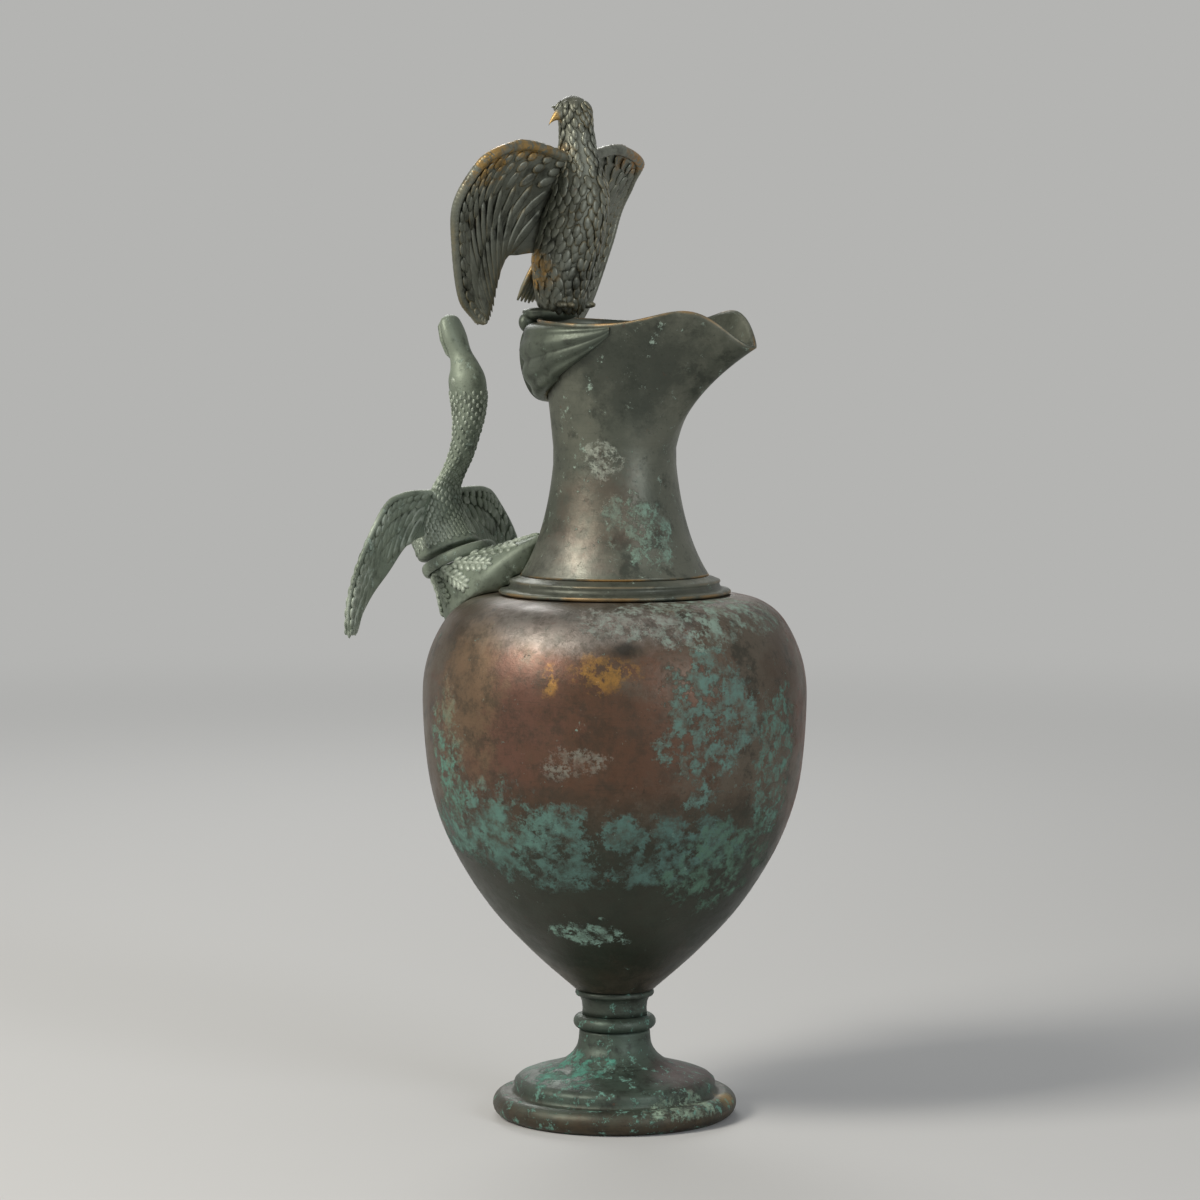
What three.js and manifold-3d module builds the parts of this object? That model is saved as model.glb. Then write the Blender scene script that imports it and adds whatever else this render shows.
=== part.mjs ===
// A bronze ewer: egg-shaped belly, flared mouth with a spout, trumpet foot, and the two
// surviving ends of its handle, an eagle on the rim and a swan in a calyx on the shoulder.
// Millimetres, +Z up, spout towards +X, handle towards -X.
import * as THREE from 'three';
import { mergeVertices } from 'three/addons/utils/BufferGeometryUtils.js';
import Module from 'manifold-3d';

const wasm = await Module();
wasm.setup();

// Driving dimensions
const seam = 0.3;              // gap between pieces that touch
const bellyWall = 2.0;
const bellyRadius = 96.4;
const bellyMaxHeight = 207;
const bellyTop = 263;
const bellyBottom = 64;
const throatRadius = 45;       // opening from belly to neck
const neckWall = 1.5;
const neckWaist = 30.5;
const waistHeight = 330;
const neckBaseRadius = 47.3;
const rimRadius = 38.8;        // mouth away from the spout
const rimHeight = 397;
const spoutReach = 81;         // axis to spout tip
const spoutDip = 22;           // how far the lip drops at the spout tip
const collarHeight = 9;
const collarRadius = 58.2;
const stemRadius = 16.5;
const stemLipRadius = 20;
const knopRadius = 20.8;
const knopHeight = 7;
const knopLevel = 47.2;
const footRadius = 61.4;
const footRingHeight = 12;
const footBandRadius = 50.6;
const footWall = 3;
const saddleThickness = 12;
const perchLength = 32;
const perchWidth = 30;
const perchHeight = 5;
const eagleHeight = 105.4;     // claws to crown
const eagleX = -31;
const wingSpread = 76;         // eagle wrist from the middle plane
const wingThickness = 4;
const calyxRingRadius = 19;
const calyxRingHeight = 5;
const calyxTilt = THREE.MathUtils.degToRad(25);
const plateLength = 80;
const plateWidth = 54;
const swanWingSpread = 74;
const swanWingThickness = 3.4;
const turnSteps = 32;          // flats round a turned piece
const fineSteps = 24;

// A closed body with its faces turned outwards.
function closed(geometry) {
  geometry.deleteAttribute('normal');
  geometry.deleteAttribute('uv');
  const merged = mergeVertices(geometry, 1e-3);
  const index = Array.from(merged.index.array);
  const p = merged.attributes.position;
  const kept = [];
  let volume = 0;
  const [a, b, c] = [new THREE.Vector3(), new THREE.Vector3(), new THREE.Vector3()];
  for (let i = 0; i < index.length; i += 3) {
    const [i0, i1, i2] = index.slice(i, i + 3);
    if (i0 === i1 || i1 === i2 || i2 === i0) continue;
    kept.push([i0, i1, i2]);
    a.fromBufferAttribute(p, i0);
    b.fromBufferAttribute(p, i1);
    c.fromBufferAttribute(p, i2);
    volume += a.dot(b.cross(c));
  }
  merged.setIndex((volume < 0 ? kept.map(([i, j, k]) => [i, k, j]) : kept).flat());
  return merged;
}

// A profile of [radius, height] pairs turned about +Z, closed on itself where it misses the axis.
function turned(profile, steps = turnSteps) {
  const outline = profile[0][0] > 0 ? [...profile, profile[0]] : profile;
  const lathe = new THREE.LatheGeometry(outline.map(([r, z]) => new THREE.Vector2(r, z)), steps);
  return closed(lathe.rotateX(Math.PI / 2));
}

// A skin over rings of equal count: its ends are capped, or the last ring joins the first.
function skin(rings, joinEnds = false) {
  const count = rings[0].length;
  const points = rings.flat();
  const index = [];
  const last = joinEnds ? rings.length : rings.length - 1;
  for (let r = 0; r < last; r++) {
    for (let i = 0; i < count; i++) {
      const j = (i + 1) % count;
      const [a, b] = [r * count + i, r * count + j];
      const next = ((r + 1) % rings.length) * count;
      index.push(a, b, next + j, a, next + j, next + i);
    }
  }
  if (!joinEnds) {
    for (const [r, flip] of [[0, true], [rings.length - 1, false]]) {
      const middle = new THREE.Vector3();
      rings[r].forEach((v) => middle.addScaledVector(v, 1 / count));
      points.push(middle);
      for (let i = 0; i < count; i++) {
        const [a, b] = [r * count + i, r * count + (i + 1) % count];
        index.push(points.length - 1, flip ? b : a, flip ? a : b);
      }
    }
  }
  const geometry = new THREE.BufferGeometry().setFromPoints(points);
  geometry.setIndex(index);
  return closed(geometry);
}

function solid(geometry) {
  const mesh = new wasm.Mesh({
    numProp: 3,
    vertProperties: new Float32Array(geometry.attributes.position.array),
    triVerts: new Uint32Array(geometry.index.array),
  });
  return new wasm.Manifold(mesh);
}

function fromSolid(body) {
  const mesh = body.getMesh();
  const geometry = new THREE.BufferGeometry();
  geometry.setAttribute('position', new THREE.BufferAttribute(new Float32Array(mesh.vertProperties), 3));
  geometry.setIndex(Array.from(mesh.triVerts));
  return closed(geometry);
}

// The widest single body left after a cut.
function mainBody(body) {
  return body.decompose().sort((m, n) => n.volume() - m.volume())[0];
}

// A line of [r, z] pairs moved sideways, to its left as it is walked.
function offsetLine(line, distance) {
  return line.map((point, i) => {
    const before = line[Math.max(i - 1, 0)];
    const after = line[Math.min(i + 1, line.length - 1)];
    const [dr, dz] = [after[0] - before[0], after[1] - before[1]];
    const length = Math.hypot(dr, dz);
    return [point[0] - dz / length * distance, point[1] + dr / length * distance];
  });
}

function smoothLine(points, steps) {
  const curve = new THREE.SplineCurve(points.map(([r, z]) => new THREE.Vector2(r, z)));
  return curve.getPoints(steps).map((v) => [v.x, v.y]);
}

// Belly: outer line from the stem up to the shoulder's edge.
const bellyOuter = smoothLine([
  [stemLipRadius, bellyBottom], [42.5, bellyBottom + 20.3], [64.2, 108.4], [82.6, 138.8],
  [92.6, 169], [bellyRadius, bellyMaxHeight], [94.1, 230], [85.2, 249.5], [74, bellyTop - 3.9],
  [collarRadius + 1.5, bellyTop - 0.3],
], 15);

function bellyShell() {
  const inner = offsetLine(bellyOuter, bellyWall).reverse();
  const floorLevel = bellyBottom + bellyWall;
  return turned([
    [0, bellyBottom], ...bellyOuter, [throatRadius, bellyTop], [throatRadius, bellyTop - bellyWall],
    ...inner.filter(([, z]) => z > floorLevel + 1), [0, floorLevel],
  ]);
}

// The belly's outside as one plain body, grown by a gap, to cut what lies on it.
function bellyTool(gap) {
  const outer = offsetLine(bellyOuter, -gap);
  return turned([[0, bellyBottom - gap], ...outer, [0, bellyTop + gap]]);
}

const collarBase = bellyTop + seam;
const collarTop = collarBase + collarHeight;
function collarRing(gap = 0) {
  const r = collarRadius + gap;
  return turned([
    [throatRadius, collarBase - gap], [r - 0.6, collarBase - gap], [r, collarBase + 1.1],
    [r - 0.9, collarBase + 2.2], [r - 4.4, collarBase + 3.2], [r - 5.9, collarBase + 5.4],
    [r - 5.5, collarBase + 6.6], [r - 7.9, collarBase + 7.9], [neckBaseRadius + 0.4 + gap, collarTop],
    [throatRadius, collarTop],
  ]);
}

// Neck and mouth: at each angle one line climbs from the collar through the waist to the rim.
const neckBase = collarTop + seam;
const flareStart = waistHeight + 14;
function frontShare(angle) {
  return Math.exp(-Math.pow(Math.abs(angle) / 0.55, 1.4));
}

function neckLine(angle) {
  const share = frontShare(angle);
  const tipNearness = Math.exp(-Math.pow(angle / 0.175, 2));
  const lipRadius = rimRadius + (spoutReach - rimRadius) * share;
  const lipHeight = rimHeight + 3 * Math.pow((1 - Math.cos(angle)) / 2, 2)
    + 11 * Math.exp(-Math.pow(angle / 0.61, 2)) - spoutDip * tipNearness;
  const lower = new THREE.QuadraticBezierCurve(
    new THREE.Vector2(neckBaseRadius, neckBase), new THREE.Vector2(neckWaist + 3.5, neckBase + 20),
    new THREE.Vector2(neckWaist, waistHeight),
  ).getPoints(5);
  const upper = new THREE.QuadraticBezierCurve(
    new THREE.Vector2(neckWaist + 0.6, flareStart),
    new THREE.Vector2(neckWaist + 3.2 + 10.3 * share, flareStart + 26 - 5 * share),
    new THREE.Vector2(lipRadius, lipHeight),
  ).getPoints(6);
  return [...lower, ...upper].map((v) => [v.x, v.y]);
}

function aroundAxis(angle, [r, z]) {
  return new THREE.Vector3(r * Math.cos(angle), r * Math.sin(angle), z);
}

// Angles crowd together at the spout, where the mouth turns fastest.
const neckAngles = Array.from({ length: turnSteps }, (_, i) => {
  const even = 2 * Math.PI * i / turnSteps;
  const crowded = even - 0.6 * Math.sin(even);
  return crowded > Math.PI ? crowded - 2 * Math.PI : crowded;
});

// The line with its lowest point level with the neck's foot.
function levelFoot(line) {
  return [[line[0][0], neckBase], ...line.slice(1)];
}

function neckShell() {
  const lines = neckAngles.map((angle) => {
    const outer = neckLine(angle);
    const inner = levelFoot(offsetLine(outer, neckWall));
    return [...outer, ...inner.reverse()].map((p) => aroundAxis(angle, p));
  });
  return skin(lines, true);
}

function neckTool(gap) {
  const lines = neckAngles.map((angle) => levelFoot(offsetLine(neckLine(angle), -gap)));
  const rings = lines[0].map((_, row) => lines.map((line, i) => aroundAxis(neckAngles[i], line[row])));
  return skin(rings);
}

// Stem and foot
const knopBottom = knopLevel - knopHeight / 2;
const knopTop = knopLevel + knopHeight / 2;
const footTop = knopBottom - seam;

function stemCup() {
  const [low, high] = [knopTop + seam, bellyBottom - seam];
  return turned([
    [0, low], [stemRadius, low], [stemRadius, high - 6], [stemRadius + 1.4, high - 3.4],
    [stemLipRadius, high - 2.4], [stemLipRadius, high - 0.5], [stemLipRadius - 0.6, high], [0, high],
  ], fineSteps);
}

function stemKnop() {
  const roll = knopHeight / 2;
  const bulge = [-90, -60, -30, 0, 30, 60, 90].map((degrees) => {
    const turn = THREE.MathUtils.degToRad(degrees);
    return [knopRadius - roll + roll * Math.cos(turn), knopLevel + roll * Math.sin(turn)];
  });
  return turned([[0, knopBottom], ...bulge, [0, knopTop]], fineSteps);
}

function footTrumpet() {
  const roll = footRingHeight / 2;
  const ringCentre = footRadius - roll;
  const ring = [-75, -40, 0, 40, 75].map((degrees) => {
    const turn = THREE.MathUtils.degToRad(degrees);
    return [ringCentre + roll * Math.cos(turn), roll + roll * Math.sin(turn)];
  });
  const trumpet = smoothLine([
    [footBandRadius - 5, 20.8], [36.3, 23.5], [27, 26.6], [21.5, 31], [stemRadius + 1.6, 37],
    [stemRadius + 1.3, footTop],
  ], 8);
  const hollow = [[stemRadius - 8, 24], [24, 20], [36, 16], [ringCentre - roll - 2, 9]];
  return turned([
    [ringCentre - roll + footWall / 2, 0], [ringCentre + roll / 4, 0], ...ring,
    [footBandRadius + 0.9, footRingHeight], [footBandRadius, footRingHeight + 1.8],
    [footBandRadius, footRingHeight + 5.4], [footBandRadius - 1.6, footRingHeight + 6.6],
    ...trumpet, [0, footTop], [0, 26], ...hollow,
  ]);
}

// Saddle on the back of the rim: a crescent that follows the neck and thins to both ends.
const saddleAngle = THREE.MathUtils.degToRad(118);   // half the arc that it covers
function rimSaddle() {
  const rings = [];
  const steps = 12;
  for (let i = 0; i <= steps; i++) {
    const across = i / steps * 2 - 1;
    const angle = Math.PI + across * saddleAngle;
    const wrapped = angle > Math.PI ? angle - 2 * Math.PI : angle;
    const line = offsetLine(neckLine(wrapped), -seam).slice(-5);
    const fullness = Math.pow(Math.cos(across * Math.PI / 2), 0.8) * 0.92 + 0.08;
    const reach = 1 - fullness;
    const path = new THREE.SplineCurve(line.map(([r, z]) => new THREE.Vector2(r, z)));
    const from = 0.95 * reach;
    const inner = [0, 0.25, 0.5, 0.75, 1].map((t) => path.getPoint(from + (0.985 - from) * t));
    const wide = inner.map((v) => [v.x, v.y]);
    const profile = [0.25, 0.8, 1, 0.95, 0.5];
    const outer = offsetLine(wide, -1).map(([r, z], k) => {
      const thick = saddleThickness * fullness * profile[k];
      return [wide[k][0] + (r - wide[k][0]) * thick, wide[k][1] + (z - wide[k][1]) * thick];
    });
    rings.push([...wide, ...outer.reverse()].map((p) => aroundAxis(angle, p)));
  }
  return fromSolid(mainBody(solid(skin(rings)).subtract(solid(neckTool(seam)))));
}

// A ring of points round a place, in the plane of two directions.
function ovalRing(centre, sideways, alongDepth, count = 12) {
  return Array.from({ length: count }, (_, i) => {
    const turn = 2 * Math.PI * i / count;
    const across = centre.clone().addScaledVector(sideways, Math.cos(turn));
    return across.addScaledVector(alongDepth, Math.sin(turn));
  });
}

const perchBase = rimHeight + 3.3 + seam;
function eaglePerch() {
  const middle = eagleX - 9;
  const sides = [[0, 0.86], [1, 1], [perchHeight - 1, 0.98], [perchHeight, 0.8]];
  return skin(sides.map(([rise, share]) => ovalRing(
    new THREE.Vector3(middle, 0, perchBase + rise),
    new THREE.Vector3(perchLength / 2 * share, 0, 0),
    new THREE.Vector3(0, perchWidth / 2 * share, 0), 20,
  )));
}

// Eagle: [share of height, x from the claws, half width, half depth]
const eagleBase = perchBase + perchHeight + seam;
const eagleSections = [
  [0, 0, 12, 11], [0.09, 0, 14.5, 14], [0.24, 2, 17.5, 17], [0.38, 6, 17, 17.5], [0.52, 10, 15.5, 15.5],
  [0.65, 10, 11, 12], [0.74, 9, 9, 9.5], [0.84, 8.5, 7.8, 8.2], [0.93, 7, 7.6, 8], [0.98, 6.4, 5.6, 6],
  [1, 6.2, 2, 2.4],
];

function eagleTorso(gap) {
  return solid(skin(eagleSections.map(([share, forward, width, depth]) => ovalRing(
    new THREE.Vector3(eagleX + forward, 0, eagleBase + eagleHeight * share),
    new THREE.Vector3(depth + gap, 0, 0), new THREE.Vector3(0, width + gap, 0),
  ))));
}

function eagleBody() {
  const headLevel = eagleBase + eagleHeight * 0.87;
  const beak = skin([
    [0, 4.4, 4.6], [6, 3, 3.6], [10, 1.6, 2.4], [12, 0.7, 1.2],
  ].map(([out, width, height], i) => ovalRing(
    new THREE.Vector3(eagleX + 5 - out * 0.5, -3 - out, headLevel + 1.5 - i * i * 0.6),
    new THREE.Vector3(width, -width * 0.5, 0), new THREE.Vector3(0, 0, height), 8,
  )));
  const tail = skin([
    [eagleX - 4, 20, 9, 8], [eagleX - 14, 12, 4.5, 11], [eagleX - 24, 0.5, 2.6, 13], [eagleX - 31, -9, 1.8, 13],
  ].map(([x, rise, thick, width]) => ovalRing(
    new THREE.Vector3(x, 0, eagleBase + rise + 6),
    new THREE.Vector3(thick * 0.8, 0, thick * 0.6), new THREE.Vector3(0, width, 0), 10,
  )));
  return fromSolid(mainBody(eagleTorso(0).add(solid(beak)).add(solid(tail))));
}

// A cambered wing between its leading and trailing edges, from root to tip.
function wingPlate(leading, trailing, thickness, camber, steps) {
  const front = new THREE.CatmullRomCurve3(leading.map((p) => new THREE.Vector3(...p)));
  const rear = new THREE.CatmullRomCurve3(trailing.map((p) => new THREE.Vector3(...p)));
  const rings = [];
  for (let i = 0; i <= steps; i++) {
    const along = i / steps;
    const [a, b] = [front.getPointAt(along), rear.getPointAt(along)];
    const swell = Math.sin(Math.PI * Math.min(0.25 + along, 1)) * 0.6 + 0.4;
    const at = (t, side) => a.clone().lerp(b, t).add(new THREE.Vector3(
      side * thickness * (0.5 - 0.32 * t) - camber * Math.sin(Math.PI * t) * swell, 0, 0,
    ));
    const across = [0, 0.3, 0.65, 1];
    rings.push([...across.map((t) => at(t, 1)), ...across.reverse().map((t) => at(t, -1))]);
  }
  return solid(skin(rings));
}

const mirrorY = (points) => points.map(([x, y, z]) => [x, -y, z]);

function eagleWing(side) {
  const w = wingSpread;
  const top = eagleBase + 74;
  const leading = [
    [-23, -6, top], [-25, -w * 0.53, top + 7], [-28, -w * 0.9, top + 2], [-36, -w * 0.985, top - 10],
    [-44, -w, top - 24], [-48, -w * 0.95, top - 41], [-52, -w * 0.82, top - 66], [-51, -w * 0.66, top - 80],
    [-49.5, -w * 0.57, top - 84],
  ];
  const trailing = [
    [-36, -6, top - 52], [-42, -w * 0.24, top - 54], [-44, -w * 0.32, top - 54], [-46, -w * 0.38, top - 64],
    [-48, -w * 0.45, top - 74], [-49, -w * 0.53, top - 83],
  ];
  const shape = side < 0
    ? wingPlate(leading, trailing, wingThickness, 7, 12)
    : wingPlate(mirrorY(leading), mirrorY(trailing), wingThickness, 7, 12);
  return fromSolid(mainBody(shape.subtract(solid(eagleBody())).subtract(eagleTorso(seam))));
}

// Calyx: a flared bell whose foot is the plate laid on the shoulder and against the neck.
const calyxUp = new THREE.Vector3(-Math.sin(calyxTilt), 0, Math.cos(calyxTilt));
const calyxAcross = new THREE.Vector3(Math.cos(calyxTilt), 0, Math.sin(calyxTilt));
const calyxRingCentre = new THREE.Vector3(-93.5, 0, 277);
const plateCentre = new THREE.Vector3(-68, 0, 267);
const plateAcross = new THREE.Vector3(0.74, 0, 0.67);
const plateUp = new THREE.Vector3(-0.67, 0, 0.74);
const sideways = new THREE.Vector3(0, 1, 0);

// What would fill the throat between belly and neck.
function throatPlug() {
  const r = throatRadius + 1;
  return turned([[0, collarBase], [r, collarBase], [r, collarTop + 1], [0, collarTop + 1]]);
}

function handleCalyx() {
  const ringFoot = calyxRingCentre.clone().addScaledVector(calyxUp, -calyxRingHeight / 2 - seam);
  const plate = (drop, share) => ovalRing(
    plateCentre.clone().addScaledVector(plateUp, drop),
    plateAcross.clone().multiplyScalar(plateLength / 2 * share),
    sideways.clone().multiplyScalar(plateWidth / 2 * share), 20,
  );
  const rings = [plate(-14, 0.8), plate(-4, 1), plate(-1, 1)];
  for (const [rise, flare] of [[0.3, 0.42], [0.62, 0.1], [1, 0]]) {
    const centre = plateCentre.clone().lerp(ringFoot, Math.pow(rise, 0.6));
    const across = plateAcross.clone().lerp(calyxAcross, rise).normalize();
    rings.push(ovalRing(
      centre,
      across.multiplyScalar(THREE.MathUtils.lerp(calyxRingRadius - 1, plateLength / 2, flare)),
      sideways.clone().multiplyScalar(THREE.MathUtils.lerp(calyxRingRadius - 1, plateWidth / 2, flare)), 20,
    ));
  }
  const body = solid(skin(rings))
    .subtract(solid(bellyTool(seam)))
    .subtract(solid(neckTool(seam)))
    .subtract(solid(collarRing(seam)))
    .subtract(solid(throatPlug()));
  return fromSolid(mainBody(body));
}

function calyxRing() {
  const half = calyxRingHeight / 2;
  const bulge = [[-half, -1], [-half * 0.7, 0.6], [0, 1.4], [half * 0.7, 0.6], [half, -1]];
  return skin(bulge.map(([rise, out]) => ovalRing(
    calyxRingCentre.clone().addScaledVector(calyxUp, rise),
    calyxAcross.clone().multiplyScalar(calyxRingRadius + out),
    sideways.clone().multiplyScalar(calyxRingRadius + out), 20,
  )));
}

// Swan: [x, z, half width, half depth, lean of the section in degrees]
const swanSections = [
  [-106, 291, 16.5, 16, 22], [-107.5, 298, 15.5, 14.5, 26], [-105, 308, 12.5, 12, 40],
  [-99.5, 317.6, 9.8, 9.5, 35],
  [-93.8, 327, 7.7, 7.7, 22], [-89.6, 338.3, 7.1, 7.1, 10], [-87.4, 350, 8.2, 8.6, 0],
  [-87.4, 360, 9.2, 10, 0], [-88.4, 369, 9.4, 10, 6], [-90, 376, 7.6, 7.6, 15], [-92.4, 382, 5.8, 5.2, 20],
  [-95.5, 390, 6.8, 3.4, 20], [-98.6, 397, 6.6, 2.6, 20], [-100.4, 401, 3.6, 1.8, 20],
];

function swanTorso(gap) {
  const base = calyxRingCentre.clone().addScaledVector(calyxUp, calyxRingHeight / 2 + seam);
  const foot = ovalRing(base, calyxAcross.clone().multiplyScalar(calyxRingRadius - 2 + gap),
    sideways.clone().multiplyScalar(calyxRingRadius - 2 + gap));
  const rings = swanSections.map(([x, z, width, depth, lean]) => {
    const tilt = THREE.MathUtils.degToRad(lean);
    return ovalRing(new THREE.Vector3(x, 0, z),
      new THREE.Vector3(Math.cos(tilt), 0, Math.sin(tilt)).multiplyScalar(depth + gap),
      new THREE.Vector3(0, width + gap, 0));
  });
  return solid(skin([foot, ...rings]));
}

function swanWing(side) {
  const w = swanWingSpread;
  const leading = [
    [-103, -8, 312], [-103, -w * 0.45, 313], [-104.5, -w * 0.66, 307], [-105, -w * 0.95, 283],
    [-111.5, -w, 261], [-115, -w * 0.95, 240],
  ];
  const trailing = [
    [-102, -8, 288], [-104.5, -w * 0.36, 283], [-104, -w * 0.6, 271], [-107, -w * 0.78, 259],
    [-113, -w * 0.92, 240],
  ];
  const shape = side < 0
    ? wingPlate(leading, trailing, swanWingThickness, 3, 9)
    : wingPlate(mirrorY(leading), mirrorY(trailing), swanWingThickness, 3, 9);
  return fromSolid(mainBody(shape.subtract(swanTorso(seam)).subtract(solid(calyxRing()))));
}

function bronze(colour, roughness = 0.55) {
  return new THREE.MeshStandardMaterial({ color: colour, roughness, metalness: 0.8 });
}

const pieces = [
  ['belly', bellyShell(), '#4f4a3c'],
  ['shoulder_collar', collarRing(), '#6a7263'],
  ['neck_spout', neckShell(), '#5b6156'],
  ['stem_cup', stemCup(), '#41483d'],
  ['stem_knop', stemKnop(), '#3c3a30'],
  ['foot', footTrumpet(), '#4a6a5f'],
  ['rim_saddle', rimSaddle(), '#55605a'],
  ['eagle_perch', eaglePerch(), '#45493f'],
  ['eagle_body', eagleBody(), '#3d3d30'],
  ['eagle_right_wing', eagleWing(-1), '#45442f'],
  ['eagle_left_wing', eagleWing(1), '#45442f'],
  ['handle_calyx', handleCalyx(), '#6b7d74'],
  ['calyx_ring', calyxRing(), '#74827c'],
  ['swan_body', fromSolid(mainBody(swanTorso(0))), '#6c8077'],
  ['swan_right_wing', swanWing(-1), '#5f7168'],
  ['swan_left_wing', swanWing(1), '#5f7168'],
];

const ewer = new THREE.Group();
for (const [name, geometry, colour] of pieces) {
  const mesh = new THREE.Mesh(geometry, bronze(colour));
  mesh.name = name;
  ewer.add(mesh);
}

// The origin is the middle of the outline, on the surface that the foot stands on.
const middle = new THREE.Box3().setFromObject(ewer).getCenter(new THREE.Vector3());
ewer.position.set(-middle.x, -middle.y, 0);
const placed = new THREE.Group();
placed.add(ewer);
export default placed;
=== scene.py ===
import math
import random
import bpy
import bmesh
from mathutils import Matrix, Vector, noise
from mathutils.bvhtree import BVHTree


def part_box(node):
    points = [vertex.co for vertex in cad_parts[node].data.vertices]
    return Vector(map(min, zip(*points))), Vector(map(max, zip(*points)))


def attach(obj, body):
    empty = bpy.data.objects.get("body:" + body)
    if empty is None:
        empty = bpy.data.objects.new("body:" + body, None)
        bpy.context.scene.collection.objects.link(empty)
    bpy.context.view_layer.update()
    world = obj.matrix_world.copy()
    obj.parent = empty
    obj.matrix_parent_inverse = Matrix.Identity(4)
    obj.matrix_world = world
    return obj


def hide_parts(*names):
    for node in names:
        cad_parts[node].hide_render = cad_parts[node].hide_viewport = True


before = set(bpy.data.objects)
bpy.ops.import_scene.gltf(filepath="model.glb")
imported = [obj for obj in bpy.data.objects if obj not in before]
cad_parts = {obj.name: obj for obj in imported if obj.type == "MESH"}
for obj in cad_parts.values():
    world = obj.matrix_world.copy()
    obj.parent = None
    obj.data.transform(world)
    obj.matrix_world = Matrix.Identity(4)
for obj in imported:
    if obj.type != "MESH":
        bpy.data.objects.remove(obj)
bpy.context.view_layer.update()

low, high = (Vector(c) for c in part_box("belly"))
axisX = (low.x + high.x) / 2 * 1000   # vessel axis in mm from the origin
random.seed(11)

seam = 0.3                            # gap between pieces that touch, mm
dentScale = 0.03                      # dents in the turned pieces are about 33 mm wide

# how the photograph was taken, lengths in mm
photo = {"turn": math.radians(32), "dip": math.radians(4.56), "distance": 2050.0, "eyeHeight": 422.7,
         "shiftPx": 14.7, "horizonPx": 275.0, "focalPx": 4100.0, "widthPx": 1200.0, "mmPerPx": 0.5,
         "sensor": 36}


# shape helpers, all in mm from the vessel axis

def along(table, t):
    # smooth reading of a table of rows, t from 0 to 1
    last = len(table) - 1
    place = min(max(t, 0.0), 1.0) * last
    i = min(int(place), last - 1)
    f = place - i
    rows = [table[max(i - 1, 0)], table[i], table[i + 1], table[min(i + 2, last)]]
    out = []
    for a, b, c, d in zip(*rows):
        out.append(0.5 * (2 * b + (c - a) * f + (2 * a - 5 * b + 4 * c - d) * f * f
                          + (3 * b - a - 3 * c + d) * f ** 3))
    return out


def shapedGrid(bm, stepsRound, stepsAlong, surface):
    # a grid bent onto a surface that closes on itself, with its poles merged
    made = bmesh.ops.create_grid(bm, x_segments=stepsRound, y_segments=stepsAlong, size=1.0)
    for v in made["verts"]:
        v.co = surface((v.co.x + 1) / 2, (v.co.y + 1) / 2)
    bmesh.ops.remove_doubles(bm, verts=made["verts"], dist=0.002)


def scaled(v, size):
    return Vector(a * b for a, b in zip(v, size))


def closeHoles(bm):
    bmesh.ops.holes_fill(bm, edges=[e for e in bm.edges if e.is_boundary], sides=0)


def shapedBall(bm, surface):
    ball = bmesh.ops.create_uvsphere(bm, u_segments=48, v_segments=24, radius=1.0)
    for v in ball["verts"]:
        v.co = surface(v.co)


waitingLeaves = []                    # feathers and leaves of the piece in hand


def leaf(place, direction, normal, length, width, thick):
    # one feather or leaf: a flattened drop lying along its direction
    lengthwise = direction.normalized()
    side = normal.cross(lengthwise)
    if side.length < 1e-6:
        return
    side.normalize()
    up = lengthwise.cross(side)
    turn = Matrix((lengthwise, side, up)).transposed().to_4x4()
    size = Matrix.Diagonal((length / 2, width / 2, thick / 2, 1.0))
    middle = Matrix.Translation(place + lengthwise * length * 0.5)
    waitingLeaves.append(middle @ turn @ size)


def addLeaves(bm):
    # small batches, because one large mesh slows each new shape down
    batchSize = 40
    for start in range(0, len(waitingLeaves), batchSize):
        batch = bmesh.new()
        for place in waitingLeaves[start:start + batchSize]:
            bmesh.ops.create_uvsphere(batch, u_segments=8, v_segments=5, radius=1.0, matrix=place)
        carrier = bpy.data.meshes.new("leafBatch")
        batch.to_mesh(carrier)
        batch.free()
        bm.from_mesh(carrier)
        bpy.data.meshes.remove(carrier)
    waitingLeaves.clear()


def finishPiece(bm, name, node, material):
    addLeaves(bm)
    bmesh.ops.recalc_face_normals(bm, faces=bm.faces)
    bmesh.ops.translate(bm, verts=bm.verts, vec=(axisX, 0, 0))
    bmesh.ops.scale(bm, verts=bm.verts, vec=(0.001, 0.001, 0.001))
    mesh = bpy.data.meshes.new(name)
    bm.to_mesh(mesh)
    bm.free()
    for face in mesh.polygons:
        face.use_smooth = True
    piece = bpy.data.objects.new(name, mesh)
    bpy.context.scene.collection.objects.link(piece)
    mesh.materials.append(material)
    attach(piece, "root")
    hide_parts(node)
    return piece


def turnedPiece(profile, name, node, material, steps=160, unevenness=0.25):
    # a closed profile of (radius, height) spun about the axis
    bm = bmesh.new()
    verts = [bm.verts.new((r, 0, z)) for r, z in profile]
    edges = [bm.edges.new(pair) for pair in zip(verts, verts[1:])]
    if profile[0][0] > 0.01:
        edges.append(bm.edges.new((verts[-1], verts[0])))
    bmesh.ops.spin(bm, geom=verts + edges, cent=(0, 0, 0), axis=(0, 0, 1), angle=math.tau,
                   steps=steps, use_merge=True)
    bmesh.ops.remove_doubles(bm, verts=bm.verts, dist=0.002)
    for v in bm.verts:                # worn, hand-finished surface, never proud of the true line
        dent = abs(noise.noise(v.co * dentScale)) * unevenness
        flat = Vector((v.co.x, v.co.y, 0))
        if flat.length > 1 and v.co.z > 1:
            v.co -= flat.normalized() * dent
    return finishPiece(bm, name, node, material)


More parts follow.
